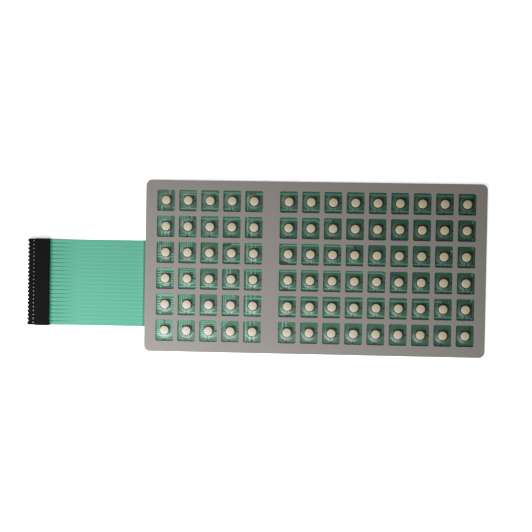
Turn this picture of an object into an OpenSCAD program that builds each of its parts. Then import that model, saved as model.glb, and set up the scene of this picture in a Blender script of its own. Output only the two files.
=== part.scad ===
// Membrane keypad with 84 domed keys, a die-cut window frame and a flexible tail.
// The origin is the middle of the panel's rear face, +X to the right, +Y up, +Z to the front.

/* [Key grid] */
// Distance between two key columns
key_pitch_x = 14.3; // [13.4:0.1:18]
// Distance between two key rows
key_pitch_y = 16.9; // [15.6:0.1:22]
// Extra space between the left and the right block of keys
block_gap = 8.2; // [0:0.1:20]

/* [Panel outline] */
// Left edge of the panel to the middle of the first column
margin_left = 13.2; // [10:0.1:30]
// Right edge of the panel to the middle of the last column
margin_right = 12.7; // [10:0.1:30]
// Top edge of the panel to the middle of the first row
margin_top = 13.1; // [10:0.1:30]
// Bottom edge of the panel to the middle of the last row
margin_bottom = 13.9; // [10:0.1:30]
// Radius of the corners of the panel
corner_r = 3.8; // [1:0.1:8]
// Step of the films behind the edge of the frame
film_inset = 0.3; // [0.1:0.1:1.5]

/* [Window frame] */
// Thickness of the window frame
frame_t = 0.6; // [0.4:0.1:3]
// Width of one window
window_w = 11.4; // [10.8:0.1:12.4]
// Height of one window
window_h = 13.8; // [11:0.1:14.4]
// Radius of the corners of a window
window_r = 1.1; // [0.4:0.1:3]
// Step of the adhesive behind the edges of the frame
glue_inset = 0.25; // [0.05:0.05:0.5]

/* [Layers] */
// Thickness of the release paper
liner_t = 0.12; // [0.06:0.01:0.3]
// Thickness of each adhesive layer
glue_t = 0.1; // [0.05:0.01:0.25]
// Thickness of the two polyester films
film_t = 0.15; // [0.1:0.01:0.25]
// Thickness of the green insulating lacquer
lacquer_t = 0.03; // [0.02:0.01:0.06]
// Thickness of the printed tracks and contacts
print_t = 0.03; // [0.02:0.01:0.06]
// Thickness of the spacer
spacer_t = 0.2; // [0.1:0.01:0.4]

/* [Domes] */
// Diameter of a dome at its foot
dome_d = 10.6; // [9:0.1:11]
// Diameter of the flat top of a dome
dome_top_d = 6.3; // [5:0.1:7]
// Height of a dome
dome_h = 0.45; // [0.3:0.05:0.9]
// Share of a dome's wall that is rounded at its foot, and again at its top
wall_round = 0.2; // [0.1:0.05:0.4]
// Diameter of the hole in the spacer under a dome
spacer_hole_d = 9.4; // [9:0.1:10]
// Width of the air channels between the holes of the spacer
vent_w = 1.2; // [0.5:0.1:2]

/* [Key dots] */
// Diameter of a key dot
dot_d = 5.5; // [4:0.1:6.2]
// Height of a key dot
dot_h = 0.85; // [0.5:0.05:2]
// Radius round the upper edge of a key dot
dot_edge_r = 0.2; // [0.1:0.05:0.3]
// Rise of the slightly domed top of a key dot
dot_crown = 0.15; // [0.05:0.01:0.25]

/* [Circuit print] */
// Width of a printed track
track_w = 0.9; // [0.4:0.1:1.2]
// Width of the fine tracks that run in bundles
fine_track_w = 0.5; // [0.3:0.1:0.8]
// Distance between the tracks of a bundle
fine_pitch = 1.15; // [0.9:0.05:1.4]
// Height of the upper track above the middle of a key in the first row
upper_track_y = 5.2; // [4.9:0.1:5.6]
// Depth of the lower track below the middle of a key
lower_track_y = 5.2; // [5.1:0.1:6]
// Side of the square contact field under a dome
contact_w = 6.8; // [6:0.1:7]
// Chamfer on the two upper corners of the contact field
upper_chamfer = 0.6; // [0.3:0.1:1.5]
// Chamfer on the two lower corners of the contact field
lower_chamfer = 1.3; // [0.3:0.1:1.5]
// Shift of the contact field to the right of the key's middle
contact_dx = 0.45; // [0:0.05:0.5]
// Shift of the contact field above the key's middle
contact_dy = 0.25; // [0:0.05:0.5]
// Width of the black lead to the right
side_lead_w = 0.9; // [0.4:0.1:1.4]
// Width of the black lead downwards
down_lead_w = 0.75; // [0.3:0.05:1]
// Diameter of the round pad that a black lead ends in
lead_pad_d = 1.2; // [0.8:0.05:1.4]
// Width of the black bar beside a key
bus_w = 0.9; // [0.6:0.1:1.4]
// Distance of the black bar from the middle of a key
bus_x = 3.3; // [3.2:0.05:4.2]
// Distance of the black bar from the middle of a key in the last column
last_bus_x = 3.9; // [3.4:0.05:4.2]
// Diameter of the contact disc inside a dome
upper_contact_d = 5.0; // [3:0.1:5.6]

/* [Tail] */
// Length of the tail between the panel and the connector
tail_l = 62.1; // [40:0.1:150]
// Width of the tail
tail_w = 56.1; // [55.7:0.1:57]
// Middle of the tail below the middle of the panel
tail_y = 11.8; // [0:0.1:20]
// Gap between two tracks of the tail
tail_gap = 0.5; // [0.3:0.05:1]
// Length of the film lip in front of the frame at the root of the tail
lip_l = 1.2; // [0.5:0.1:3]
// Length over which the tail rises to the connector
rise_l = 16; // [8:1:30]

/* [Connector] */
// Distance between two contacts
way_pitch = 2.54; // [2.54:0.01:2.6]
// Length of the connector from the mating face to the tail
housing_l = 14.4; // [13:0.1:18]
// Thickness of the rear part of the connector
housing_t = 3.4; // [3.3:0.1:4.5]
// Length of the slimmer nose of the connector
nose_l = 4.9; // [4.8:0.1:6]
// Step between the rear part and the nose on each side
nose_step = 0.25; // [0.1:0.05:0.3]
// Thickness of the walls at the two ends of the connector
end_wall = 0.5; // [0.4:0.05:1]
// Width and height of the cavity for one contact
cavity_w = 1.9; // [1.8:0.05:2]
// Thickness of the wall at the mating face
front_wall = 0.9; // [0.8:0.1:1.2]
// Side of the hole for a mating pin
pin_hole_w = 1.0; // [0.8:0.05:1.2]
// Side of the lead-in step around a pin hole
lead_in_w = 1.5; // [1.3:0.05:1.6]
// Depth of the lead-in step
lead_in_depth = 0.25; // [0.1:0.05:0.4]
// Length of a contact window along the connector's short side
port_l = 1.0; // [0.8:0.1:1.6]
// Width of a contact window along the row of contacts
port_w = 0.8; // [0.6:0.1:1.4]
// Distance of the contact windows from the mating face
port_x = 3.7; // [3.4:0.1:3.9]
// Width of the rounded teeth at both ends of the connector
tooth_w = 1.7; // [1.5:0.05:1.9]
// Length of a tooth
tooth_l = 0.75; // [0.4:0.05:0.8]
// Radius of the corners of a tooth
tooth_r = 0.5; // [0.2:0.05:0.7]

/* [Contacts] */
// Thickness of the contact metal
contact_t = 0.2; // [0.15:0.01:0.25]
// Outer side of the contact's box
box_w = 1.7; // [1.6:0.05:1.75]
// Length of the contact's box
box_l = 5.4; // [4.5:0.1:5.8]
// Length of film inside the connector
film_grip_l = 6.0; // [5.6:0.1:6.4]
// Length of one crimped tine
tine_l = 1.2; // [0.8:0.1:1.6]
// Clearance around a piece that slides into another
slide_gap = 0.05; // [0.03:0.01:0.08]

/* [Hidden] */
$fn = 48;

// The circuit sets these counts
rows = 6;
left_cols = 5;
cols = 14;
ways = 22;

// Panel and key grid
grid_w = (cols - 1) * key_pitch_x + block_gap;
grid_h = (rows - 1) * key_pitch_y;
panel_w = margin_left + grid_w + margin_right;
panel_h = margin_top + grid_h + margin_bottom;
first_x = -panel_w / 2 + margin_left;
first_y = panel_h / 2 - margin_top;

function key_x(col) = first_x + (col - 1) * key_pitch_x + (col > left_cols ? block_gap : 0);
function key_y(row) = first_y - (row - 1) * key_pitch_y;

// Heights of the layers, from the rear face to the front
glue_z = liner_t;
film_z = glue_z + glue_t;
lacquer_z = film_z + film_t;
print_z = lacquer_z + lacquer_t;
spacer_z = print_z + print_t;
dome_z = spacer_z + spacer_t;
frame_glue_z = dome_z + film_t;
frame_z = frame_glue_z + glue_t;
dot_z = dome_z + film_t + dome_h;

// Each key's print, one character a key, from the first column to the last.
// Tracks in the upper half of a window:
//   .  bare                            -  level track
//   )  level, its right end drops      (  level, its left end drops
//   =  two level tracks                k  left half only, then a black lead
//   b  black bar, then the right half  c  the same, its bar joined to the field
//   a  black lead only                 u  one upright track
//   v  upright bundle                  w  two upright tracks
//   h  level bundle                    m  level bundle and an upright track
//   d  slanted bundle                  i  upright track above the black bar
//   t  level track up to the black bar
upper_print = [
  "u=)-c--------t",
  "vv----)k.....i",
  "vv.b-(--k....i",
  "mh.w-----)a..i",
  "mv.v--------ki",
  "hvhd.w........"
];
// Tracks in the lower half, where they differ from the above:
//   _  level track at the window's edge   )  level, then drops to the right
//   p  black bar, then the right half     q  black bar in the middle
//   r  the same, further to the right     u  upright and a short level track
//   /  slanted track that comes from below
lower_print = [
  "u--)/--------t",
  "v__..........i",
  "m----p-------t",
  "m----q-------t",
  "m----r-------t",
  ".............."
];
// Black leads of a contact field: s to the side, n also downwards, e with a pad at
// the window's edge, x long bar beside the field, X bar down to the window's edge,
// y short bar, B bar of the last column with a slanted lead, z bar that runs up and
// off the window
lead_print = [
  "xnnnsnnnnnnnnB",
  "XeeeXeeeeeeeeB",
  "xnnnnnnnnnnnnB",
  "xnnnnnnnnnnnnB",
  "ynnnnnnnnnnnnB",
  "yeeeeeeeeeeeez"
];
// Black patches: r two at the upper right, j one upright at the upper right, q upper
// left, l lower left, o at the end of the bar, i above and below the field
patch_print = [
  "..............",
  ".r..l.........",
  "q.............",
  "o..j..........",
  "o..j..........",
  "i............."
];

// Places of the tail and the connector
root_x = -panel_w / 2 - lip_l;
housing_rear_x = -panel_w / 2 - tail_l;
mating_x = housing_rear_x - housing_l;
housing_mid_z = housing_t / 2;
housing_w = (ways - 1) * way_pitch + cavity_w + 2 * end_wall + 2 * nose_step;
neck_w = (ways - 1) * way_pitch + cavity_w;
film_end_x = housing_rear_x - film_grip_l;
contact_floor_z = housing_mid_z - box_w / 2;
film_conn_z = contact_floor_z + contact_t;
tail_track_w = way_pitch - tail_gap;
box_x = mating_x + front_wall + slide_gap;
drop_l = 4;
ease_steps = 12;

function way_y(way) = -tail_y + ((ways + 1) / 2 - way) * way_pitch;

// Underside of the tail from the panel to the end of the film, with two soft bends
function eased(t) = (1 - cos(180 * t)) / 2;
function tail_line(dz) = concat(
  [[-panel_w / 2 + film_inset, film_z + dz]],
  [for (i = [0 : ease_steps])
    [root_x - drop_l * i / ease_steps, film_z * (1 - eased(i / ease_steps)) + dz]],
  [for (i = [0 : ease_steps])
    [housing_rear_x + rise_l * (1 - i / ease_steps), film_conn_z * eased(i / ease_steps) + dz]]
);
function turned(list) = [for (i = [len(list) - 1 : -1 : 0]) list[i]];

// Outlines

module rounded_rect(w, h, r) {
  square([w - 2 * r, h], center = true);
  square([w, h - 2 * r], center = true);
  for (sx = [-1, 1], sy = [-1, 1])
    translate([sx * (w / 2 - r), sy * (h / 2 - r)])
      circle(r);
}

module at_keys() {
  for (row = [1 : rows], col = [1 : cols])
    translate([key_x(col), key_y(row)])
      children();
}

module film_outline() {
  rounded_rect(panel_w - 2 * film_inset, panel_h - 2 * film_inset, corner_r - film_inset);
}

// Film outline with the lip that reaches out over the root of the tail
module lipped_outline() {
  film_outline();
  translate([root_x, -tail_y - tail_w / 2])
    square([-panel_w / 2 + film_inset - root_x + 1, tail_w]);
}

module layer(z, t) {
  translate([0, 0, z])
    linear_extrude(t)
      children();
}

// A strip that follows the tail from x = from_x, seen from the side and drawn w wide
module tail_strip(y, w, dz, t) {
  translate([0, y + w / 2, 0])
    rotate([90, 0, 0])
      linear_extrude(w)
        polygon(concat(tail_line(dz), turned(tail_line(dz + t))));
}

// Rear layers

module release_paper() {
  color("ivory")
    layer(0, liner_t)
      film_outline();
}

module rear_adhesive() {
  color("gainsboro")
    layer(glue_z, glue_t)
      film_outline();
}

// Circuit film with its tail, one piece of polyester

module circuit_film() {
  color("darkseagreen")
    difference() {
      union() {
        layer(film_z, film_t)
          film_outline();
        tail_strip(-tail_y, tail_w, 0, film_t);
        layer(film_conn_z, film_t)
          translate([film_end_x, -tail_y - neck_w / 2])
            square([film_grip_l, neck_w]);
      }
      tine_slots();
    }
}

module tine_slots() {
  for (way = [1 : ways], side = [-1, 1], place = [0, 1])
    translate([
      tine_x(place) - slide_gap,
      way_y(way) + side * (tine_span / 2 - contact_t / 2) - contact_t / 2 - slide_gap,
      film_conn_z - 1
    ])
      cube([tine_l + 2 * slide_gap, contact_t + 2 * slide_gap, 2]);
}

module tail_tracks() {
  color("mediumaquamarine")
    difference() {
      for (way = [1 : ways])
        union() {
          tail_strip(way_y(way), tail_track_w, film_t, print_t);
          layer(film_conn_z + film_t, print_t)
            translate([film_end_x, way_y(way) - tail_track_w / 2 + neck_trim])
              square([film_grip_l, tail_track_w - 2 * neck_trim]);
        }
      tine_slots();
    }
}

module green_lacquer() {
  color("seagreen")
    layer(lacquer_z, lacquer_t)
      difference() {
        film_outline();
        translate([-panel_w / 2, -tail_y - tail_w / 2])
          square([2 * film_inset + print_t, tail_w]);
      }
}

// Printed tracks of the key field

module level_track(y, x0, x1, w) {
  translate([x0, y - w / 2])
    square([x1 - x0, w]);
}

module upright_track(x, y0, y1, w) {
  translate([x - w / 2, y0])
    square([w, y1 - y0]);
}

// Track from a to b with square ends
module slanted_track(a, b, w) {
  d = b - a;
  translate(a)
    rotate(atan2(d[1], d[0]))
      translate([0, -w / 2])
        square([norm(d), w]);
}

// Half the field of a key, which the tracks of the next key join on to
half_x = key_pitch_x / 2;
half_y = key_pitch_y / 2;
thin_track_w = 0.8 * track_w;
// Height of the upper track in each row over that of the first row
row_shift = [0, 0.1, 0.5, 0.5, -0.5, 0];
// Where a track bends off its level, and how far it drops by the next window
bend_x = 3.1;
bend_drop = 2.1;
// Upright tracks start this far from the middle of a key, clear of the field
upright_y = 3.3;
left_upright_x = -2.85;
// End of the level tracks in the last column
last_end_x = last_bus_x - 1.2;
level_bundle_pitch = 1.65;
// Edges of the contact field
field_right = contact_dx + contact_w / 2;
field_top = contact_dy + contact_w / 2;
field_bottom = contact_dy - contact_w / 2;

module upper_tracks(kind, y) {
  if (kind == "-")
    level_track(y, -half_x, half_x, track_w);
  if (kind == "t")
    level_track(y, -half_x, last_end_x, track_w);
  if (kind == "=") {
    level_track(y + 0.25, -half_x, half_x, thin_track_w);
    level_track(y - 1.2, -half_x, half_x, thin_track_w);
  }
  if (kind == ")") {
    level_track(y, -half_x, bend_x, track_w);
    slanted_track([bend_x - 0.2, y + 0.1], [half_x, y - bend_drop], track_w);
  }
  if (kind == "(") {
    level_track(y, -bend_x, half_x, track_w);
    slanted_track([-half_x, y - bend_drop], [0.2 - bend_x, y + 0.1], track_w);
  }
  if (kind == "k")
    level_track(y, -half_x, -0.7, track_w);
  if (kind == "b")
    level_track(y, -0.2, half_x, track_w);
  if (kind == "c")
    level_track(y - 0.4, 0.8, half_x, track_w);
  if (kind == "u")
    upright_track(2.3, upright_y - 0.4, half_y, track_w);
  if (kind == "v")
    for (i = [-4 : 2])
      upright_track(i * fine_pitch, i < -2 ? 0 : upright_y, half_y, fine_track_w);
  if (kind == "w")
    for (x = [left_upright_x, -0.6])
      upright_track(x, x < -1 ? 0 : upright_y, half_y, track_w);
  if (kind == "h")
    for (i = [0 : 8])
      level_track(half_y - 2.6 - i * fine_pitch, -half_x, half_x, fine_track_w);
  if (kind == "m") {
    level_track(half_y - 2.7, -half_x, half_x, 1.6 * track_w);
    upright_track(left_upright_x, upright_y + 0.8, half_y, track_w);
    for (i = [0 : 2])
      level_track(i * level_bundle_pitch + 0.3, -half_x, half_x, thin_track_w);
  }
  if (kind == "d")
    for (i = [0 : 3])
      slanted_track([-half_x, 1.2 + i * 1.5], [half_y - half_x - 1.2 - i * 1.5, half_y], fine_track_w);
  if (kind == "i")
    upright_track(last_bus_x, upright_y + 1.3, half_y, bus_w);
}

module lower_tracks(kind) {
  y = -lower_track_y;
  if (kind == "-")
    level_track(y, -half_x, half_x, track_w);
  if (kind == "t")
    level_track(y, -half_x, last_end_x, track_w);
  if (kind == "_")
    level_track(y - 0.5, -half_x, half_x, track_w);
  if (kind == ")") {
    level_track(y, -half_x, 0.3, track_w);
    slanted_track([0.1, y + 0.1], [half_y - bend_x, -half_y], track_w);
  }
  if (kind == "/")
    slanted_track([bend_x - 0.7, 1.7 - half_y], [half_x, y + 0.2], track_w);
  if (kind == "p")
    level_track(y, -0.7, half_x, track_w);
  if (kind == "q") {
    level_track(y, -half_x, -3.4, track_w);
    level_track(y, 0.3, half_x, track_w);
  }
  if (kind == "r") {
    level_track(y, -half_x, -1, track_w);
    level_track(y, 2.6, half_x, track_w);
  }
  if (kind == "v")
    for (i = [0 : 2])
      upright_track(left_upright_x + i * 2.2, -half_y, -upright_y, track_w);
  if (kind == "u")
    upright_track(left_upright_x, -half_y, -upright_y - 0.2, 1.2 * track_w);
  if (kind == "u" || kind == "m")
    level_track(y + 0.4, field_right, half_x, thin_track_w);
  if (kind == "m") {
    upright_track(left_upright_x, -half_y, y + 0.4, track_w);
    for (i = [1 : 2])
      level_track(0.3 - i * level_bundle_pitch, -half_x, half_x, thin_track_w);
  }
  if (kind == "t" || kind == "i")
    upright_track(last_bus_x, -half_y, y + 0.1, bus_w);
}

// Three tracks run down through the fifth column, the second and third join lower down
trunk_x = -4.2;
trunk_pitch = 2.75;

module trunk_tracks() {
  for (i = [0 : 2])
    upright_track(
      key_x(left_cols) + trunk_x + i * trunk_pitch,
      key_y(rows) - half_y,
      key_y(i + 1) + upper_track_y,
      thin_track_w
    );
}

module track_plan() {
  for (row = [1 : rows], col = [1 : cols])
    translate([key_x(col), key_y(row)]) {
      upper_tracks(upper_print[row - 1][col - 1], upper_track_y + row_shift[row - 1]);
      lower_tracks(lower_print[row - 1][col - 1]);
    }
  trunk_tracks();
}

module key_tracks() {
  color("mediumseagreen")
    layer(print_z, print_t)
      difference() {
        intersection() {
          track_plan();
          square([panel_w - 4 * film_inset, panel_h - 4 * film_inset], center = true);
        }
        carbon_plan();
      }
}

module contact_field() {
  difference() {
    square(contact_w, center = true);
    for (sx = [-1, 1], sy = [-1, 1])
      translate([sx * contact_w / 2, sy * contact_w / 2])
        rotate(45)
          square((sy > 0 ? upper_chamfer : lower_chamfer) * sqrt(2), center = true);
  }
}

// Where the black leads run and end, from the middle of a key
down_lead_x = -0.4;
side_pad_x = 5.3;
side_pad_y = -0.1;
edge_pad_y = -6.1;

module lead_pad(x, y) {
  translate([x, y])
    circle(d = lead_pad_d);
}

module black_leads(kind) {
  if (kind == "n" || kind == "e") {
    level_track(side_pad_y, field_right - 0.5, side_pad_x, side_lead_w);
    lead_pad(side_pad_x, side_pad_y);
    upright_track(down_lead_x, -lower_track_y - track_w / 2, field_bottom + 0.5, down_lead_w);
  }
  if (kind == "s")
    level_track(-1.1, field_right - 0.5, half_x - 1.7, side_lead_w);
  if (kind == "e") {
    upright_track(down_lead_x, edge_pad_y, -lower_track_y, down_lead_w);
    lead_pad(down_lead_x, edge_pad_y);
  }
  if (kind == "x" || kind == "X")
    upright_track(bus_x, kind == "x" ? -lower_track_y - 0.2 : 1.6 - half_y, field_top - 0.8, bus_w);
  if (kind == "y")
    upright_track(bus_x, -1.6, field_top - 0.8, bus_w);
  if (kind == "B") {
    upright_track(last_bus_x, 0.4 - lower_track_y, upright_y + 0.8, bus_w);
    slanted_track([-0.8, field_bottom + 0.3], [-0.1, edge_pad_y + 0.3], down_lead_w);
  }
  if (kind == "z")
    upright_track(bus_x, -2.2, half_y, bus_w);
}

module black_patches(kind) {
  if (kind == "r") {
    lead_pad(0.9, -edge_pad_y);
    slanted_track([3.7, 6], [4.9, 5], 1.3 * bus_w);
  }
  if (kind == "j")
    upright_track(4.65, 4.3, 5.9, bus_w);
  if (kind == "q")
    slanted_track([-2.5, 4.6], [-3.5, 7.4], bus_w);
  if (kind == "l")
    slanted_track([-3.9, -6.1], [-2.5, -4.4], bus_w);
  if (kind == "o")
    lead_pad(bus_x + 0.1, -lower_track_y);
  if (kind == "i") {
    upright_track(-0.15, field_top - 0.5, half_y, 0.9 * bus_w);
    level_track(edge_pad_y, -1.6, 1.9, 0.8 * bus_w);
  }
}

// Black bar or lead that a track of the upper half ends in
module upper_black_ends(kind, y) {
  if (kind == "b")
    slanted_track([-5.6, y - 1.1], [-0.4, y + 0.4], 1.1 * bus_w);
  if (kind == "c") {
    slanted_track([-2.4, y - 0.5], [0.6, y - 0.1], bus_w);
    upright_track(-2.35, 2, y - 0.3, down_lead_w);
  }
  if (kind == "k")
    slanted_track([-0.8, y + 0.2], [1.3, field_top - 0.4], bus_w);
  if (kind == "a") {
    lead_pad(-3.9, y - 1.1);
    level_track(y - 1.1, -3.9, -0.2, down_lead_w);
    slanted_track([-0.4, y - 1], [1.4, field_top - 0.3], bus_w);
  }
}

module lower_black_ends(kind) {
  y = -lower_track_y;
  if (kind == "p") {
    level_track(y, -half_x + 1.4, -2.2, bus_w);
    slanted_track([-2.4, y], [-0.6, y - 0.5], bus_w);
  }
  if (kind == "q")
    slanted_track([-2.7, y], [0.5, y - 0.9], bus_w);
  if (kind == "r")
    slanted_track([-0.9, y - 0.9], [2.5, y - 0.4], bus_w);
}

module carbon_plan() {
  for (row = [1 : rows], col = [1 : cols])
    translate([key_x(col), key_y(row)]) {
      translate([contact_dx, contact_dy])
        contact_field();
      black_leads(lead_print[row - 1][col - 1]);
      black_patches(patch_print[row - 1][col - 1]);
      upper_black_ends(upper_print[row - 1][col - 1], upper_track_y + row_shift[row - 1]);
      lower_black_ends(lower_print[row - 1][col - 1]);
    }
}

module carbon_contacts() {
  color([0.12, 0.13, 0.13])
    layer(print_z, print_t)
      carbon_plan();
}

// Spacer with a round hole under each dome and air channels between them

module spacer() {
  color("honeydew")
    layer(spacer_z, spacer_t)
      difference() {
        lipped_outline();
        at_keys()
          circle(d = spacer_hole_d);
        for (row = [1 : rows]) {
          translate([key_x(1), key_y(row) - vent_w / 2])
            square([key_x(left_cols) - key_x(1), vent_w]);
          translate([key_x(left_cols + 1), key_y(row) - vent_w / 2])
            square([key_x(cols) - key_x(left_cols + 1), vent_w]);
        }
      }
}

// Front film with one embossed dome a key

// Places across a dome's wall, from its foot to its top
round_steps = 4;
wall_places = concat(
  [for (i = [0 : round_steps]) wall_round * i / round_steps],
  [for (i = [0 : round_steps]) 1 - wall_round + wall_round * i / round_steps]
);

// Rise of a straight wall with a rounded foot and a rounded top
function wall_rise(t) =
  t < wall_round ? t * t / (2 * wall_round * (1 - wall_round)) :
  t > 1 - wall_round ? 1 - wall_rise(1 - t) :
  (t - wall_round / 2) / (1 - wall_round);
function dome_line(dz) = [
  for (t = wall_places)
    [dome_d / 2 - (dome_d - dome_top_d) / 2 * t, dome_h * wall_rise(t) + dz]
];

module dome() {
  rotate_extrude()
    polygon(concat(dome_line(0), [[0, dome_h], [0, dome_h + film_t]], turned(dome_line(film_t))));
}

module dome_film() {
  color("palegreen")
    union() {
      layer(dome_z, film_t)
        difference() {
          lipped_outline();
          at_keys()
            circle(d = dome_d);
        }
      translate([0, 0, dome_z])
        at_keys()
          dome();
    }
}

// Contact discs on the insides of the domes
module upper_contacts() {
  color("dimgray")
    translate([0, 0, dome_z + dome_h - print_t])
      at_keys()
        cylinder(d = upper_contact_d, h = print_t);
}

// Window frame and its adhesive

module frame_adhesive() {
  color("whitesmoke")
    layer(frame_glue_z, glue_t)
      difference() {
        film_outline();
        at_keys()
          rounded_rect(window_w + 2 * glue_inset, window_h + 2 * glue_inset, window_r + glue_inset);
      }
}

module window_frame() {
  color([0.57, 0.55, 0.53])
    layer(frame_z, frame_t)
      difference() {
        rounded_rect(panel_w, panel_h, corner_r);
        at_keys()
          rounded_rect(window_w, window_h, window_r);
      }
}

// Key dots, glued to the flat tops of the domes

// The top of a dot is a cap of a large ball
dot_flat_r = dot_d / 2 - dot_edge_r;
dot_wall_h = dot_h - dot_crown - dot_edge_r;
crown_r = (dot_flat_r * dot_flat_r + dot_crown * dot_crown) / (2 * dot_crown);

module key_dot() {
  rotate_extrude()
    union() {
      intersection() {
        square([dot_flat_r, dot_h]);
        translate([0, dot_h - crown_r])
          circle(crown_r, $fn = 720);
      }
      square([dot_d / 2, dot_wall_h]);
      translate([dot_flat_r, dot_wall_h])
        intersection() {
          circle(dot_edge_r);
          square(dot_edge_r);
        }
    }
}

module key_dots(row) {
  color([0.82, 0.79, 0.69])
    for (col = [1 : cols])
      translate([key_x(col), key_y(row), dot_z])
        key_dot();
}

// Connector housing

module connector_housing() {
  color([0.11, 0.12, 0.12])
    difference() {
      union() {
        layer(0, housing_t)
          intersection() {
            housing_plan(housing_w);
            translate([mating_x + nose_l, -tail_y - housing_w / 2])
              square([housing_l, housing_w]);
          }
        layer(nose_step, housing_t - 2 * nose_step)
          intersection() {
            housing_plan(housing_w - 2 * nose_step);
            translate([mating_x, -tail_y - housing_w / 2])
              square([nose_l + 1, housing_w]);
          }
      }
      for (way = [1 : ways])
        translate([mating_x, way_y(way), housing_mid_z])
          contact_cavity();
      film_slot();
    }
}

// Plan of the housing, w wide: a bar with a row of rounded teeth at both ends
module housing_plan(w) {
  end_w = (w - (ways - 1) * way_pitch + tooth_w) / 2;
  translate([mating_x + tooth_l, -tail_y - w / 2])
    square([housing_l - 2 * tooth_l, w]);
  for (x = [mating_x + tooth_l, housing_rear_x - tooth_l]) {
    for (way = [1 : ways])
      translate([x, way_y(way)])
        rounded_rect(2 * tooth_l, tooth_w, tooth_r);
    for (side = [-1, 1])
      translate([x, -tail_y + side * (w - end_w) / 2])
        rounded_rect(2 * tooth_l, end_w, tooth_r);
  }
}

module contact_cavity() {
  translate([front_wall, -cavity_w / 2, -cavity_w / 2])
    cube([housing_l, cavity_w, cavity_w]);
  translate([-1, -pin_hole_w / 2, -pin_hole_w / 2])
    cube([front_wall + 2, pin_hole_w, pin_hole_w]);
  translate([-1, -lead_in_w / 2, -lead_in_w / 2])
    cube([1 + lead_in_depth, lead_in_w, lead_in_w]);
  translate([port_x - port_l / 2, -port_w / 2, 0])
    cube([port_l, port_w, housing_t]);
}

module film_slot() {
  translate([
    film_end_x - slide_gap,
    -tail_y - neck_w / 2 - slide_gap,
    film_conn_z - slide_gap
  ])
    cube([film_grip_l + 1, neck_w + 2 * slide_gap, film_t + print_t + 2 * slide_gap]);
}

// Contacts: a box for the mating pin, a floor strip and two pairs of tines clinched through the film

// Span and rise of the tines, and the floor strip and spring they belong to
tine_span = 1.5;
tine_rise = film_t + print_t + slide_gap;
neck_trim = 0.12;
tongue_w = 0.8;

function tine_x(place) = film_end_x + 0.9 + place * (tine_l + 0.9);

module contact(way) {
  color("lightgray")
    translate([0, way_y(way), 0]) {
      translate([box_x, 0, housing_mid_z])
        contact_box();
      translate([box_x + box_l, -tine_span / 2, contact_floor_z])
        cube([tine_x(1) + tine_l - box_x - box_l, tine_span, contact_t]);
      for (place = [0, 1])
        translate([tine_x(place), 0, film_conn_z])
          tine_pair();
    }
}

module contact_box() {
  difference() {
    translate([0, -box_w / 2, -box_w / 2])
      cube([box_l, box_w, box_w]);
    translate([-1, -box_w / 2 + contact_t, -box_w / 2 + contact_t])
      cube([box_l + 2, box_w - 2 * contact_t, box_w - 2 * contact_t]);
  }
  translate([0, tongue_w / 2, -box_w / 2 + contact_t])
    rotate([90, 0, 0])
      linear_extrude(tongue_w)
        polygon([
          [box_l, 0], [box_l * 0.75, 0], [box_l * 0.35, 0.3], [box_l * 0.1, 0.1],
          [box_l * 0.1, 0.25], [box_l * 0.35, 0.45], [box_l * 0.75, 0.15], [box_l, 0.15]
        ]);
}

// Two legs that stand through the film and turn inwards over the track
module tine_pair() {
  for (side = [-1, 1])
    mirror([0, side > 0 ? 1 : 0, 0]) {
      translate([0, -tine_span / 2, 0])
        cube([tine_l, contact_t, tine_rise + contact_t]);
      translate([0, -tine_span / 2, tine_rise])
        cube([tine_l, tine_span / 2 - slide_gap, contact_t]);
    }
}

release_paper();
rear_adhesive();
circuit_film();
tail_tracks();
green_lacquer();
key_tracks();
carbon_contacts();
spacer();
dome_film();
upper_contacts();
frame_adhesive();
window_frame();
key_dots(1);  // key_dots_row_1
key_dots(2);  // key_dots_row_2
key_dots(3);  // key_dots_row_3
key_dots(4);  // key_dots_row_4
key_dots(5);  // key_dots_row_5
key_dots(6);  // key_dots_row_6
connector_housing();
contact(1);  // contact_01
contact(2);  // contact_02
contact(3);  // contact_03
contact(4);  // contact_04
contact(5);  // contact_05
contact(6);  // contact_06
contact(7);  // contact_07
contact(8);  // contact_08
contact(9);  // contact_09
contact(10);  // contact_10
contact(11);  // contact_11
contact(12);  // contact_12
contact(13);  // contact_13
contact(14);  // contact_14
contact(15);  // contact_15
contact(16);  // contact_16
contact(17);  // contact_17
contact(18);  // contact_18
contact(19);  // contact_19
contact(20);  // contact_20
contact(21);  // contact_21
contact(22);  // contact_22
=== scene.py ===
import math

import bmesh
import bpy
from mathutils import Matrix, Vector


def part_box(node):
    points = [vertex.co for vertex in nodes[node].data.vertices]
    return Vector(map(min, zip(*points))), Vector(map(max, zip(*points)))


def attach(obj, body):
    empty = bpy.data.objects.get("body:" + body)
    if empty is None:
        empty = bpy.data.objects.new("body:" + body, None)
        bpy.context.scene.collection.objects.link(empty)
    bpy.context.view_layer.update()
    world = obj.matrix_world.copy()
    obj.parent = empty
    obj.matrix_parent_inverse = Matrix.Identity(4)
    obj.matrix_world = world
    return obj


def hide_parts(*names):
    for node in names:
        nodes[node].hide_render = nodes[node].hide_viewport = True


# Membrane keypad. Most CAD layers stay and get their finishes here. The window frame and the key dots
# are modelled anew with soft edges, and the dome film and the spacer are joined up, so that they shade
# as clear film.
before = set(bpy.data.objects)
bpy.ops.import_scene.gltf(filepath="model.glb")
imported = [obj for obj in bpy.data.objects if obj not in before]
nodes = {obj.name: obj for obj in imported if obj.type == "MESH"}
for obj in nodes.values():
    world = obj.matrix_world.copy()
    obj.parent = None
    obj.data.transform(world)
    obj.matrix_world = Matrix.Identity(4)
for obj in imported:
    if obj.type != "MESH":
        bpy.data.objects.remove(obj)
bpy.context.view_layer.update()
print("CAD frame loaded:", len(nodes), "nodes")

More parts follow.
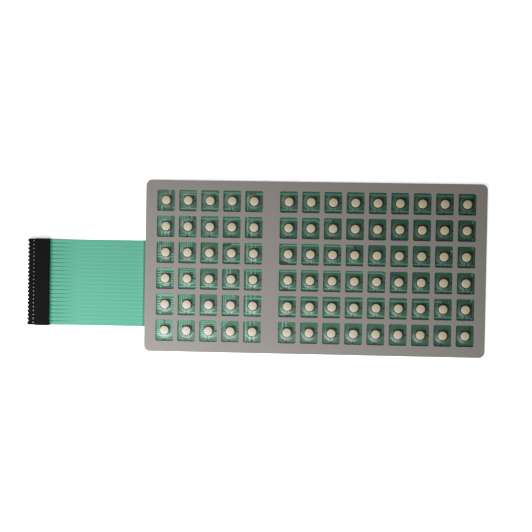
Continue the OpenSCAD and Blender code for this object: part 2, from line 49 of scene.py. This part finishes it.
mm = 0.001
joinDistance = 0.0005 * mm   # corners closer than this are one
closeBy = 0.001 * mm         # the same line or height, when edges are picked by place
hair = 0.01 * mm             # the same, when corners are picked by height
levelFace = 0.99             # a face whose normal points up at least this much is a top

panel = {
    "width": 220.0 * mm,
    "height": 111.5 * mm,
    "cornerRadius": 3.8 * mm,
    "firstKeyX": -96.8 * mm,
    "firstKeyY": 42.65 * mm,
    "keyPitchX": 14.3 * mm,
    "keyPitchY": 16.9 * mm,
    "blockGap": 8.2 * mm,
    "leftColumns": 5,
    "columns": 14,
    "rows": 6,
}


def keyX(column):
    gap = panel["blockGap"] if column >= panel["leftColumns"] else 0.0
    return panel["firstKeyX"] + column * panel["keyPitchX"] + gap


def keyY(row):
    return panel["firstKeyY"] - row * panel["keyPitchY"]


# Helpers for modelling

def deselectAll():
    if bpy.context.object and bpy.context.object.mode != "OBJECT":
        bpy.ops.object.mode_set(mode="OBJECT")
    bpy.ops.object.select_all(action="DESELECT")


def pickOnly(obj):
    deselectAll()
    obj.select_set(True)
    bpy.context.view_layer.objects.active = obj


def selectParts(obj, kind, wanted):
    # selects the corners, edges or faces of the mesh in edit mode for which wanted(part) is true
    mesh = bmesh.from_edit_mesh(obj.data)
    bpy.context.tool_settings.mesh_select_mode = (kind == "verts", kind == "edges", kind == "faces")
    for part in list(mesh.verts) + list(mesh.edges) + list(mesh.faces):
        part.select = False
    found = 0
    for part in getattr(mesh, kind):
        if wanted(part):
            part.select_set(True)
            found += 1
    mesh.select_flush_mode()
    bmesh.update_edit_mesh(obj.data)
    return found


def applyModifier(obj, kind, name, **settings):
    pickOnly(obj)
    modifier = obj.modifiers.new(name, kind)
    for key, value in settings.items():
        setattr(modifier, key, value)
    bpy.ops.object.modifier_apply(modifier=modifier.name)


def settle(obj):
    # leaves the object at the origin, with its place in its mesh
    pickOnly(obj)
    bpy.ops.object.transform_apply(location=True, rotation=True, scale=True)
    return obj


def mergedCopy(nodeName, pieceName):
    # a copy of a CAD node's loose triangles, joined up so that it can be shaded smooth
    pickOnly(nodes[nodeName])
    bpy.ops.object.duplicate(linked=False)
    piece = bpy.context.object
    piece.name = pieceName
    piece.data.name = pieceName
    for key in list(piece.keys()):
        del piece[key]  # the copy leaves the node's tags behind
    piece.parent = None
    piece.matrix_world = Matrix.Identity(4)
    bpy.ops.object.mode_set(mode="EDIT")
    bpy.ops.mesh.select_all(action="SELECT")
    bpy.ops.mesh.remove_doubles(threshold=joinDistance)
    bpy.ops.object.mode_set(mode="OBJECT")
    if piece.data.has_custom_normals:
        bpy.ops.mesh.customdata_custom_splitnormals_clear()
    return piece


def place(piece, nodeName):
    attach(piece, "root")
    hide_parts(nodeName)


# Helpers for materials

def linearColor(hexCode):
    # sRGB hex to linear, with full alpha
    channels = [int(hexCode[i:i + 2], 16) / 255 for i in (0, 2, 4)]
    return [c / 12.92 if c <= 0.04045 else ((c + 0.055) / 1.055) ** 2.4 for c in channels] + [1.0]


def addNode(tree, kind, settings=None, **links):
    # adds a node, sets its fields, and fills or links its sockets: a socket's spaces are written as _,
    # and i2 is the socket with index 2
    node = tree.nodes.new(kind)
    for key, value in (settings or {}).items():
        setattr(node, key, value)
    for key, value in links.items():
        index = int(key[1:]) if key[0] == "i" and key[1:].isdigit() else key.replace("_", " ")
        socket = node.inputs[index]
        if isinstance(value, bpy.types.NodeSocket):
            tree.links.new(value, socket)
        else:
            socket.default_value = value
    return node


def noise(tree, spot, grainMm, detail):
    # cloudy noise whose grains are about this size, on Object coordinates in metres
    cloud = addNode(tree, "ShaderNodeTexNoise", Vector=spot, Scale=1000.0 / grainMm, Detail=detail)
    return cloud.outputs["Fac"]


def spread(tree, value, low, high):
    # from low, where the value is 0, to high, where it is 1
    return addNode(tree, "ShaderNodeMapRange", Value=value, To_Min=low, To_Max=high).outputs[0]


def ease(tree, value, start, end, most=1.0):
    # rises softly from 0 at the start to most at the end
    rise = addNode(tree, "ShaderNodeMapRange", {"interpolation_type": "SMOOTHSTEP"}, Value=value,
                   From_Min=start, From_Max=end, To_Max=most)
    return rise.outputs[0]


def blend(tree, share, first, second):
    # from the first colour, where the share is 0, to the second; each is a hex code or a socket
    ends = [linearColor(end) if isinstance(end, str) else end for end in (first, second)]
    mix = addNode(tree, "ShaderNodeMix", {"data_type": "RGBA"}, Factor=share, i6=ends[0], i7=ends[1])
    return mix.outputs[2]


def arithmetic(tree, operation, *values, clamp=False):
    settings = {"operation": operation, "use_clamp": clamp}
    sockets = {"i" + str(index): value for index, value in enumerate(values)}
    return addNode(tree, "ShaderNodeMath", settings, **sockets).outputs[0]


def vectorMath(tree, operation, **links):
    node = addNode(tree, "ShaderNodeVectorMath", {"operation": operation}, **links)
    return node.outputs["Value" if operation == "LENGTH" else "Vector"]


def relief(tree, strength, depth, height):
    return addNode(tree, "ShaderNodeBump", Strength=strength, Distance=depth, Height=height).outputs[0]


def newMaterial(name):
    material = bpy.data.materials.new(name)
    material.use_nodes = True
    tree = material.node_tree
    tree.nodes.clear()
    spot = addNode(tree, "ShaderNodeTexCoord").outputs["Object"]
    output = addNode(tree, "ShaderNodeOutputMaterial")
    return material, tree, spot, output


def coverWith(tree, output, **look):
    skin = addNode(tree, "ShaderNodeBsdfPrincipled", **look)
    tree.links.new(skin.outputs[0], output.inputs["Surface"])


def dress(piece, material):
    piece.data.materials.clear()
    piece.data.materials.append(material)


def finishNodes(material, *nodeNames):
    for nodeName in nodeNames:
        dress(nodes[nodeName], material)


# Materials

def rigidVinylSheet():
    # rigid PVC sheet, calendered: warm grey, matt, with a fine sandy grain that only breaks up the light
    material, tree, spot, output = newMaterial("rigidVinylSheet")
    grain = noise(tree, spot, 0.45, 3.0)
    sand = blend(tree, grain, "847E79", "928D87")
    tone = blend(tree, noise(tree, spot, 14.0, 2.0), sand, "8B8681")
    coverWith(tree, output, Base_Color=tone, IOR=1.52, Roughness=spread(tree, grain, 0.5, 0.66),
              Normal=relief(tree, 0.18, 0.03 * mm, grain))
    return material


def castPolyurethane():
    # cream polyurethane, cast as bumpers: faintly speckled, with a wide satin sheen towards the light
    material, tree, spot, output = newMaterial("castPolyurethane")
    speck = noise(tree, spot, 0.9, 4.0)
    coverWith(tree, output, Base_Color=blend(tree, speck, "CAB571", "D8C281"), IOR=2.2, Roughness=0.55,
              Specular_IOR_Level=1.0, Specular_Tint=linearColor("A0C8FF"),
              Normal=relief(tree, 0.2, 0.02 * mm, speck))
    return material


def wallSlopes(tree, film):
    # from the attribute "spoke": how far a place counts as a dome's wall, and its soft slope
    spoke = addNode(tree, "ShaderNodeAttribute", {"attribute_name": "spoke"}).outputs["Vector"]
    away = vectorMath(tree, "LENGTH", Vector=spoke)
    foot = ease(tree, away, *[film["domeRadius"] * share for share in film["footFade"]])
    top = ease(tree, away, *[film["topRadius"] * share for share in film["topFade"]])
    wall = arithmetic(tree, "MULTIPLY", foot, top)
    slope = arithmetic(tree, "MULTIPLY", wall, math.tan(math.radians(film["wallLean"])))
    outwards = vectorMath(tree, "NORMALIZE", Vector=spoke)
    sideways = vectorMath(tree, "SCALE", Vector=outwards, Scale=slope)
    raised = vectorMath(tree, "ADD", i0=sideways, i1=(0.0, 0.0, 1.0))
    return wall, vectorMath(tree, "NORMALIZE", Vector=raised)


def scuffMark(tree, spot, scuff):
    # one short white stroke where something has rubbed the film
    stroke = addNode(tree, "ShaderNodeMapping", {"vector_type": "TEXTURE"}, Vector=spot,
                     Location=scuff["place"], Rotation=(0.0, 0.0, math.radians(scuff["turn"])),
                     Scale=(scuff["length"], scuff["width"], 1.0))
    away = vectorMath(tree, "LENGTH", Vector=stroke.outputs[0])
    return ease(tree, away, 1.0, scuff["core"], scuff["white"])


def clearPolyester(name, film):
    # clear polyester film, calendered: what lies behind shows through, with a faint cloudy haze and a
    # soft glare on its upper side; the domes' walls are milkier, and a scuff is one white mark
    material, tree, spot, output = newMaterial(name)
    side = addNode(tree, "ShaderNodeNewGeometry")
    front = arithmetic(tree, "SUBTRACT", 1.0, side.outputs["Backfacing"])
    facing = addNode(tree, "ShaderNodeFresnel", IOR=1.57)
    glare = arithmetic(tree, "MULTIPLY", facing.outputs[0], front, clamp=True)
    share = arithmetic(tree, "MULTIPLY", glare, film["shine"], clamp=True)
    gloss = addNode(tree, "ShaderNodeBsdfAnisotropic", Color=linearColor("FFFFFF"),
                    Roughness=film["roughness"])
    milk = spread(tree, noise(tree, spot, 2.2, 3.0), film["haze"] * 0.7, film["haze"] * 1.3)
    if "domeRadius" in film:
        wall, lean = wallSlopes(tree, film)
        tree.links.new(lean, gloss.inputs["Normal"])
        milk = arithmetic(tree, "MULTIPLY_ADD", wall, film["wallHaze"], milk)
    if "scuff" in film:
        milk = arithmetic(tree, "MAXIMUM", milk, scuffMark(tree, spot, film["scuff"]))
    veil = arithmetic(tree, "MULTIPLY", milk, front)
    clear = addNode(tree, "ShaderNodeBsdfTransparent", Color=linearColor(film["tint"]))
    fog = addNode(tree, "ShaderNodeBsdfDiffuse", Color=linearColor("E6F2EA"))
    body = addNode(tree, "ShaderNodeMixShader", Fac=veil, i1=clear.outputs[0], i2=fog.outputs[0])
    skin = addNode(tree, "ShaderNodeMixShader", Fac=share, i1=body.outputs[0], i2=gloss.outputs[0])
    tree.links.new(skin.outputs[0], output.inputs["Surface"])
    return material


inkCoat = {
    "Coat_IOR": 1.74,         # the cured skin of the inks has a wide, weak sheen
    "Coat_Roughness": 0.47,
}

# painted shadow: a darker, greyer band on the lacquer along the lower edge of some rows' windows
lowerEdgeShadow = {
    "rows": (4, 3, 2, 0),     # along the lower edge of these rows' windows, from the keys' middle
    "low": -7.2 * mm,
    "high": -6.1 * mm,
    "color": "305B42",
    "share": 0.6,
}


def curedLacquer():
    # green insulating lacquer, screen printed and cured: deep bluish green with a pearly depth; along
    # the lower edge of some rows' windows a painted shadow makes it darker and greyer
    material, tree, spot, output = newMaterial("curedGreenLacquer")
    cloud = noise(tree, spot, 3.0, 4.0)
    axes = addNode(tree, "ShaderNodeSeparateXYZ", Vector=spot)
    height = addNode(tree, "ShaderNodeMapRange", Value=axes.outputs["Y"], From_Min=-panel["height"] / 2,
                     From_Max=panel["height"] / 2)
    shadowBand = addNode(tree, "ShaderNodeValToRGB", Fac=height.outputs[0])
    shadowBand.color_ramp.interpolation = "CONSTANT"
    for row in lowerEdgeShadow["rows"]:
        for edge, level in ((lowerEdgeShadow["low"], lowerEdgeShadow["share"]), (lowerEdgeShadow["high"], 0.0)):
            stop = shadowBand.color_ramp.elements.new((keyY(row) + edge) / panel["height"] + 0.5)
            stop.color = (level, level, level, 1.0)
    for end in (0, -1):
        shadowBand.color_ramp.elements[end].color = (0.0, 0.0, 0.0, 1.0)
    # the painted shadow's greyer colour is laid over the lacquer's own tone in the band
    tone = blend(tree, shadowBand.outputs[0], blend(tree, cloud, "026A4F", "027156"), lowerEdgeShadow["color"])
    coverWith(tree, output, Base_Color=tone, Roughness=0.57, Metallic=1.0, Coat_Weight=1.0,
              Normal=relief(tree, 0.1, 0.01 * mm, cloud), **inkCoat)
    return material


tail = {
    "rootX": -111.3 * mm,     # from here to the panel the clear lip lies on the tail
    "liftedX": -170.0 * mm,   # up to here the film is well off the floor and painted in shade
    "lyingX": -151.0 * mm,    # and from here it lies on it, painted lighter by the floor beneath
}


def deeperRoot(tree, spot, tone, deep):
    # under the clear lip at the tail's root the lacquer looks deeper and wetter
    axes = addNode(tree, "ShaderNodeSeparateXYZ", Vector=spot)
    root = arithmetic(tree, "GREATER_THAN", axes.outputs["X"], tail["rootX"])
    return blend(tree, root, tone, deep)


def lacqueredSilver(name, dark, light, grainMm, metallic, coat, root=None):
    # silver ink, screen printed under green lacquer: pale green, a little brighter where flakes lie flat
    material, tree, spot, output = newMaterial(name)
    flake = noise(tree, spot, grainMm, 3.0)
    tone = blend(tree, flake, dark, light)
    if root:
        tone = deeperRoot(tree, spot, tone, root)
    coverWith(tree, output, Base_Color=tone, IOR=1.5, Roughness=0.57, Metallic=metallic,
              Specular_IOR_Level=0.15, Coat_Weight=coat, Normal=relief(tree, 0.1, 0.01 * mm, flake),
              **inkCoat)
    return material


def carbonInk():
    # carbon ink, screen printed: soft black, dull and slightly grainy
    material, tree, spot, output = newMaterial("carbonInk")
    grain = noise(tree, spot, 0.3, 3.0)
    coverWith(tree, output, Base_Color=blend(tree, grain, "050505", "0C0C0B"), IOR=1.6,
              Roughness=spread(tree, grain, 0.45, 0.55))
    return material


def printedPolyester():
    # polyester circuit film with a thin green coat: painted lighter and bluish where it lies on the pale
    # floor, and painted shade where it rises to the connector
    material, tree, spot, output = newMaterial("printedPolyester")
    axes = addNode(tree, "ShaderNodeSeparateXYZ", Vector=spot)
    # painted shade where the tail rises off the floor, painted light from the floor where it lies on it
    paintedLightShare = ease(tree, axes.outputs["X"], tail["liftedX"], tail["lyingX"])
    litTone = blend(tree, noise(tree, spot, 5.0, 2.0), "5AA89C", "66B4A8")
    tone = deeperRoot(tree, spot, blend(tree, paintedLightShare, "326A5A", litTone), "0A9383")
    coverWith(tree, output, Base_Color=tone, IOR=1.57, Roughness=0.5, Specular_IOR_Level=0.2)
    return material


def acrylicAdhesive():
    # acrylic transfer adhesive, cast: cloudy off-white, seen only as a thin line at the edges
    material, tree, spot, output = newMaterial("acrylicAdhesive")
    tone = blend(tree, noise(tree, spot, 1.5, 2.0), "B9B7AC", "D3D1C6")
    coverWith(tree, output, Base_Color=tone, IOR=1.47, Roughness=0.35)
    return material


def glassinePaper():
    # glassine release paper, calendered: yellowish white with faint fibres and a waxy sheen
    material, tree, spot, output = newMaterial("glassinePaper")
    stretched = addNode(tree, "ShaderNodeMapping", Vector=spot, Scale=(1.0, 4.0, 1.0))
    fibre = noise(tree, stretched.outputs[0], 2.5, 5.0)
    coverWith(tree, output, Base_Color=blend(tree, fibre, "D8D2BC", "ECE8D8"), IOR=1.5, Roughness=0.42,
              Normal=relief(tree, 0.15, 0.02 * mm, fibre))
    return material


def mouldedNylon():
    # glass-filled nylon, injection moulded: near black, matt, with a fine spark-eroded texture
    material, tree, spot, output = newMaterial("mouldedNylon")
    grain = noise(tree, spot, 0.25, 4.0)
    tone = blend(tree, noise(tree, spot, 6.0, 2.0), "080A09", "0E110F")
    coverWith(tree, output, Base_Color=tone, IOR=1.53, Specular_IOR_Level=0.08,
              Roughness=spread(tree, grain, 0.7, 0.88), Normal=relief(tree, 0.25, 0.02 * mm, grain))
    return material


def tinPlate(name, dark, light, roughness):
    # bright tin on rolled phosphor bronze, or printed silver ink: pale metal with fine streaks along it
    material, tree, spot, output = newMaterial(name)
    drawn = addNode(tree, "ShaderNodeMapping", Vector=spot, Scale=(0.1, 1.0, 1.0))
    streak = noise(tree, drawn.outputs[0], 0.15, 3.0)
    coverWith(tree, output, Base_Color=blend(tree, streak, dark, light), Metallic=1.0,
              Roughness=roughness)
    return material


finishNodes(glassinePaper(), "release_paper")
finishNodes(acrylicAdhesive(), "rear_adhesive", "frame_adhesive")
finishNodes(printedPolyester(), "circuit_film")
finishNodes(lacqueredSilver("lacqueredSilverTail", "56A085", "60AA8F", 0.8, 0.0, 0.0, "0C8E72"),
            "tail_tracks")
finishNodes(lacqueredSilver("lacqueredSilverTrack", "71B2A2", "7BBDAE", 0.6, 1.0, 1.0), "key_tracks")
finishNodes(curedLacquer(), "green_lacquer")
finishNodes(carbonInk(), "carbon_contacts")
finishNodes(tinPlate("silverInk", "8C8F8C", "B4B6B0", 0.5), "upper_contacts")
finishNodes(mouldedNylon(), "connector_housing")
finishNodes(tinPlate("tinPlatedBronze", "A9A79F", "CFCDC6", 0.34),
            *[name for name in nodes if name.startswith("contact_")])
print("materials on the CAD nodes")


# Window frame: a die-cut sheet with 84 windows

windowFrame = {
    "windowWidth": 11.4 * mm,
    "windowHeight": 13.8 * mm,
    "windowRadius": 1.1 * mm,
    "cornerSegments": 10,
    "windowSegments": 6,
    "rimRound": 0.3 * mm,      # the outer edge is rolled over by the cutting
    "windowRound": 0.12 * mm,  # each window's edge is rolled over less
    "roundSegments": 3,
    "rimBand": 4.5 * mm,       # the outer edge lies this near the rim, also at its corners
    "creaseAngle": 0.5,        # radians, flatter edges aren't rounded
    "smoothAngle": 60.0,       # degrees, flatter edges shade smooth
    "flatWeight": 90,          # per cent, how far large faces decide a corner's normal
}


def buildWindowFrame(cut):
    low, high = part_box("window_frame")
    bpy.ops.mesh.primitive_plane_add(size=1.0, location=(0.0, 0.0, low.z))
    sheet = bpy.context.object
    sheet.name = sheet.data.name = "windowFrameSheet"
    bpy.ops.transform.resize(value=(panel["width"], panel["height"], 1.0))
    settle(sheet)
    halfW, halfH = cut["windowWidth"] / 2, cut["windowHeight"] / 2
    columnLines = [keyX(c) + side * halfW for c in range(panel["columns"]) for side in (-1, 1)]
    rowLines = [keyY(r) + side * halfH for r in range(panel["rows"]) for side in (-1, 1)]
    bpy.ops.object.mode_set(mode="EDIT")
    for x in columnLines:
        bpy.ops.mesh.select_all(action="SELECT")
        bpy.ops.mesh.bisect(plane_co=(x, 0.0, low.z), plane_no=(1.0, 0.0, 0.0))
    for y in rowLines:
        bpy.ops.mesh.select_all(action="SELECT")
        bpy.ops.mesh.bisect(plane_co=(0.0, y, low.z), plane_no=(0.0, 1.0, 0.0))

    def inWindow(point):
        return (any(abs(point.x - keyX(c)) < halfW for c in range(panel["columns"]))
                and any(abs(point.y - keyY(r)) < halfH for r in range(panel["rows"])))

    cutOut = selectParts(sheet, "faces", lambda face: inWindow(face.calc_center_median()))
    bpy.ops.mesh.delete(type="FACE")
    bpy.ops.mesh.select_all(action="SELECT")
    bpy.ops.mesh.extrude_region_move(TRANSFORM_OT_translate={"value": (0.0, 0.0, high.z - low.z)})
    bpy.ops.mesh.select_all(action="SELECT")
    bpy.ops.mesh.normals_make_consistent(inside=False)

    def isCorner(edge, outer):
        a, b = (v.co for v in edge.verts)
        if abs(a.z - b.z) < (high.z - low.z) / 2:
            return False
        onRim = (abs(abs(a.x) - panel["width"] / 2) < closeBy
                 and abs(abs(a.y) - panel["height"] / 2) < closeBy)
        if outer:
            return onRim
        onWindow = (any(abs(a.x - x) < closeBy for x in columnLines)
                    and any(abs(a.y - y) < closeBy for y in rowLines))
        return onWindow and len(edge.link_faces) == 2

    selectParts(sheet, "edges", lambda edge: isCorner(edge, True))
    bpy.ops.mesh.bevel(offset=panel["cornerRadius"], segments=cut["cornerSegments"], affect="EDGES")
    selectParts(sheet, "edges", lambda edge: isCorner(edge, False))
    bpy.ops.mesh.bevel(offset=cut["windowRadius"], segments=cut["windowSegments"], affect="EDGES")

    def isTopEdge(edge, outer):
        if any(abs(v.co.z - high.z) > closeBy for v in edge.verts) or len(edge.link_faces) != 2:
            return False
        if edge.calc_face_angle(0.0) < cut["creaseAngle"]:
            return False
        middle = (edge.verts[0].co + edge.verts[1].co) / 2
        nearRim = (abs(middle.x) > panel["width"] / 2 - cut["rimBand"]
                   or abs(middle.y) > panel["height"] / 2 - cut["rimBand"])
        return nearRim == outer

    selectParts(sheet, "edges", lambda edge: isTopEdge(edge, True))
    bpy.ops.mesh.bevel(offset=cut["rimRound"], segments=cut["roundSegments"], affect="EDGES")
    selectParts(sheet, "edges", lambda edge: isTopEdge(edge, False))
    bpy.ops.mesh.bevel(offset=cut["windowRound"], segments=cut["roundSegments"] - 1, affect="EDGES")
    bpy.ops.object.mode_set(mode="OBJECT")
    pickOnly(sheet)
    bpy.ops.object.shade_smooth_by_angle(angle=math.radians(cut["smoothAngle"]))
    applyModifier(sheet, "WEIGHTED_NORMAL", "flatFaces", keep_sharp=True, weight=cut["flatWeight"])
    print("window frame:", cutOut, "windows,", len(sheet.data.polygons), "faces")
    return sheet


frameSheet = buildWindowFrame(windowFrame)
dress(frameSheet, rigidVinylSheet())
place(frameSheet, "window_frame")


# Dome film and spacer: clear, and joined up from the CAD's triangles

domeFilm = {
    "smoothAngle": 35.0,      # degrees
    "flatWeight": 90,
    "haze": 0.002,
    "wallHaze": 0.015,        # the stretched walls of the domes are a little milky
    "shine": 2.1,             # both faces of the film reflect
    "roughness": 0.29,
    "tint": "FCFFFD",
    "domeRadius": 5.3 * mm,
    "topRadius": 3.15 * mm,
    "footFade": (1.0, 0.95),  # the walls' slope eases in between these shares of the radius at the foot
    "topFade": (0.95, 1.1),   # and of the radius at the top
    "wallLean": 8.0,          # degrees, how far the walls' soft slope leans outwards
    "skinReach": 1.002,       # share of the radius within which a face belongs to a dome
    "scuff": {
        "place": (keyX(12) + 4.95 * mm, keyY(2) + 3.55 * mm, 0.0),
        "turn": -52.0,        # degrees
        "length": 0.65 * mm,  # from its middle, as the width is
        "width": 0.28 * mm,
        "core": 0.5,          # share of it that is evenly white
        "white": 0.8,
    },
}


def markDomes(sheet, film):
    # writes the attribute "spoke": on a dome's skin the way from the key's middle, elsewhere zero
    spoke = sheet.data.attributes.new("spoke", "FLOAT_VECTOR", "CORNER")
    marked = 0
    for face in sheet.data.polygons:
        column = min(range(panel["columns"]), key=lambda c: abs(face.center.x - keyX(c)))
        row = min(range(panel["rows"]), key=lambda r: abs(face.center.y - keyY(r)))
        keyMiddle = Vector((keyX(column), keyY(row), 0.0))
        away = [sheet.data.vertices[corner].co - keyMiddle for corner in face.vertices]
        if all(way.xy.length < film["domeRadius"] * film["skinReach"] for way in away):
            marked += 1
            for loop, way in zip(face.loop_indices, away):
                spoke.data[loop].vector = (way.x, way.y, 0.0)
    print("dome faces marked:", marked, "of", len(sheet.data.polygons))


domeSheet = mergedCopy("dome_film", "domeFilmSheet")
pickOnly(domeSheet)
bpy.ops.object.shade_smooth_by_angle(angle=math.radians(domeFilm["smoothAngle"]))
applyModifier(domeSheet, "WEIGHTED_NORMAL", "flatSheet", keep_sharp=True, weight=domeFilm["flatWeight"])
markDomes(domeSheet, domeFilm)
dress(domeSheet, clearPolyester("clearPolyester", domeFilm))
place(domeSheet, "dome_film")

spacerFilm = {
    "airGap": 0.012 * mm,     # it is drawn this far off its neighbours, so that light passes it cleanly
    "haze": 0.002,
    "shine": 0.1,
    "roughness": 0.3,
    "tint": "F6FCF8",
}

spacerSheet = mergedCopy("spacer", "spacerSheet")
spacerLow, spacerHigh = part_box("spacer")
pickOnly(spacerSheet)
bpy.ops.object.mode_set(mode="EDIT")
for level, gap in ((spacerLow.z, spacerFilm["airGap"]), (spacerHigh.z, -spacerFilm["airGap"])):
    selectParts(spacerSheet, "verts", lambda v: abs(v.co.z - level) < hair)
    bpy.ops.transform.translate(value=(0.0, 0.0, gap))
bpy.ops.object.mode_set(mode="OBJECT")
dress(spacerSheet, clearPolyester("spacerPolyester", spacerFilm))
place(spacerSheet, "spacer")
print("dome film and spacer joined up")


# Key dots: one bumper, copied to all keys

keyDot = {
    "radius": 2.75 * mm,
    "edge": 0.12 * mm,
    "edgeSegments": 4,
    "crown": 0.15 * mm,       # the top is a little domed
    "crownRings": 4,
    "crownMiddle": 0.3,       # radius of the flat left in the middle, in rings
    "sides": 36,
    "smoothAngle": 50.0,      # degrees
}


def buildDot(dot, base, height):
    bpy.ops.mesh.primitive_circle_add(vertices=dot["sides"], radius=dot["radius"], fill_type="NGON",
                                      location=(0.0, 0.0, base))
    bumper = bpy.context.object
    bpy.ops.object.mode_set(mode="EDIT")
    bpy.ops.mesh.select_all(action="SELECT")
    rim = height - dot["crown"]
    bpy.ops.mesh.extrude_region_move(TRANSFORM_OT_translate={"value": (0.0, 0.0, rim)})
    bpy.ops.mesh.select_all(action="SELECT")
    bpy.ops.mesh.normals_make_consistent(inside=False)
    top = rim - hair
    selectParts(bumper, "edges", lambda edge: all(v.co.z > top for v in edge.verts))
    bpy.ops.mesh.bevel(offset=dot["edge"], segments=dot["edgeSegments"], affect="EDGES")
    selectParts(bumper, "faces",
                lambda face: face.normal.z > levelFace and face.calc_center_median().z > top)
    rings = dot["crownRings"] + dot["crownMiddle"]
    step = (dot["radius"] - dot["edge"]) / rings
    for ring in range(dot["crownRings"]):
        inner, outer = [(1.0 - (ring + i) / rings) ** 2 for i in (1, 0)]
        bpy.ops.mesh.inset(thickness=step)
        bpy.ops.transform.translate(value=(0.0, 0.0, dot["crown"] * (outer - inner)))
    bpy.ops.object.mode_set(mode="OBJECT")
    settle(bumper)
    bpy.ops.object.shade_smooth_by_angle(angle=math.radians(dot["smoothAngle"]))
    return bumper


dotMaterial = castPolyurethane()
dotLow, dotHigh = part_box("key_dots_row_1")
firstDot = buildDot(keyDot, dotLow.z, dotHigh.z - dotLow.z)
for row in range(panel["rows"]):
    copies = []
    for column in range(panel["columns"]):
        pickOnly(firstDot)
        bpy.ops.object.duplicate(linked=False)
        bpy.ops.transform.translate(value=(keyX(column), keyY(row), 0.0))
        copies.append(bpy.context.object)
    deselectAll()
    for copy in copies:
        copy.select_set(True)
    bpy.context.view_layer.objects.active = copies[0]
    bpy.ops.object.join()
    dots = settle(bpy.context.object)
    dots.name = dots.data.name = "keyDotsRow" + str(row + 1)
    dress(dots, dotMaterial)
    place(dots, "key_dots_row_" + str(row + 1))
bpy.data.objects.remove(firstDot)
print("key dots placed:", panel["rows"] * panel["columns"])


# Floor, light and camera

studio = {
    "floorSize": 6.0,         # metres
    "floorDrop": 0.02 * mm,   # keeps the floor clear of the paper
    "floorColor": "F4F4F2",
    "floorRoughness": 0.9,
    "floorGlow": 0.66,
    "skyColor": "F4F7FA",
    "skyStrength": 0.02,
}

bpy.ops.mesh.primitive_plane_add(size=studio["floorSize"], location=(0.0, 0.0, -studio["floorDrop"]))
floor = bpy.context.object
floor.name = "floor"
floorMaterial, floorTree, _, floorOutput = newMaterial("studioFloor")
coverWith(floorTree, floorOutput, Base_Color=linearColor(studio["floorColor"]),
          Roughness=studio["floorRoughness"], Emission_Color=linearColor("FFFFFF"),
          Emission_Strength=studio["floorGlow"])
floorMaterial.cycles.emission_sampling = "NONE"  # the glow only whitens the floor
dress(floor, floorMaterial)

# a long low strip box at the lower left, a fainter one high above it and a faint one far up at the
# upper left, all out of the picture; in metres and watts
softboxes = [
    {"place": (-0.170, -0.233, 0.220), "width": 0.559, "depth": 0.1, "power": 2.05},
    {"place": (-0.070, -0.261, 0.600), "width": 0.39, "depth": 0.15, "power": 0.8},
    {"place": (-0.260, 0.230, 0.650), "width": 0.4, "depth": 0.2, "power": 0.33},
]
for box in softboxes:
    lampData = bpy.data.lights.new("softbox", "AREA")
    lampData.shape = "RECTANGLE"
    lampData.size = box["width"]
    lampData.size_y = box["depth"]
    lampData.energy = box["power"]
    lamp = bpy.data.objects.new("softbox", lampData)
    bpy.context.scene.collection.objects.link(lamp)
    lamp.location = box["place"]
    lamp.rotation_euler = (-Vector(box["place"])).to_track_quat("-Z", "Y").to_euler()

world = bpy.data.worlds.new("studio")
bpy.context.scene.world = world
world.use_nodes = True
sky = world.node_tree.nodes["Background"]
sky.inputs["Color"].default_value = linearColor(studio["skyColor"])
sky.inputs["Strength"].default_value = studio["skyStrength"]

shot = {
    "place": (-0.008069, 0.011236, 0.594763),
    "turn": (-0.94751, 2.25914, 0.97858),  # degrees, almost straight down
    "lens": 62.12,
    "sensor": 36.0,
    "clipStart": 0.01,
}
cameraData = bpy.data.cameras.new("camera")
cameraData.lens = shot["lens"]
cameraData.sensor_width = shot["sensor"]
cameraData.clip_start = shot["clipStart"]
camera = bpy.data.objects.new("camera", cameraData)
bpy.context.scene.collection.objects.link(camera)
camera.location = shot["place"]
camera.rotation_euler = [math.radians(a) for a in shot["turn"]]
bpy.context.scene.camera = camera
bpy.context.scene.view_settings.view_transform = "Standard"
print("studio ready")
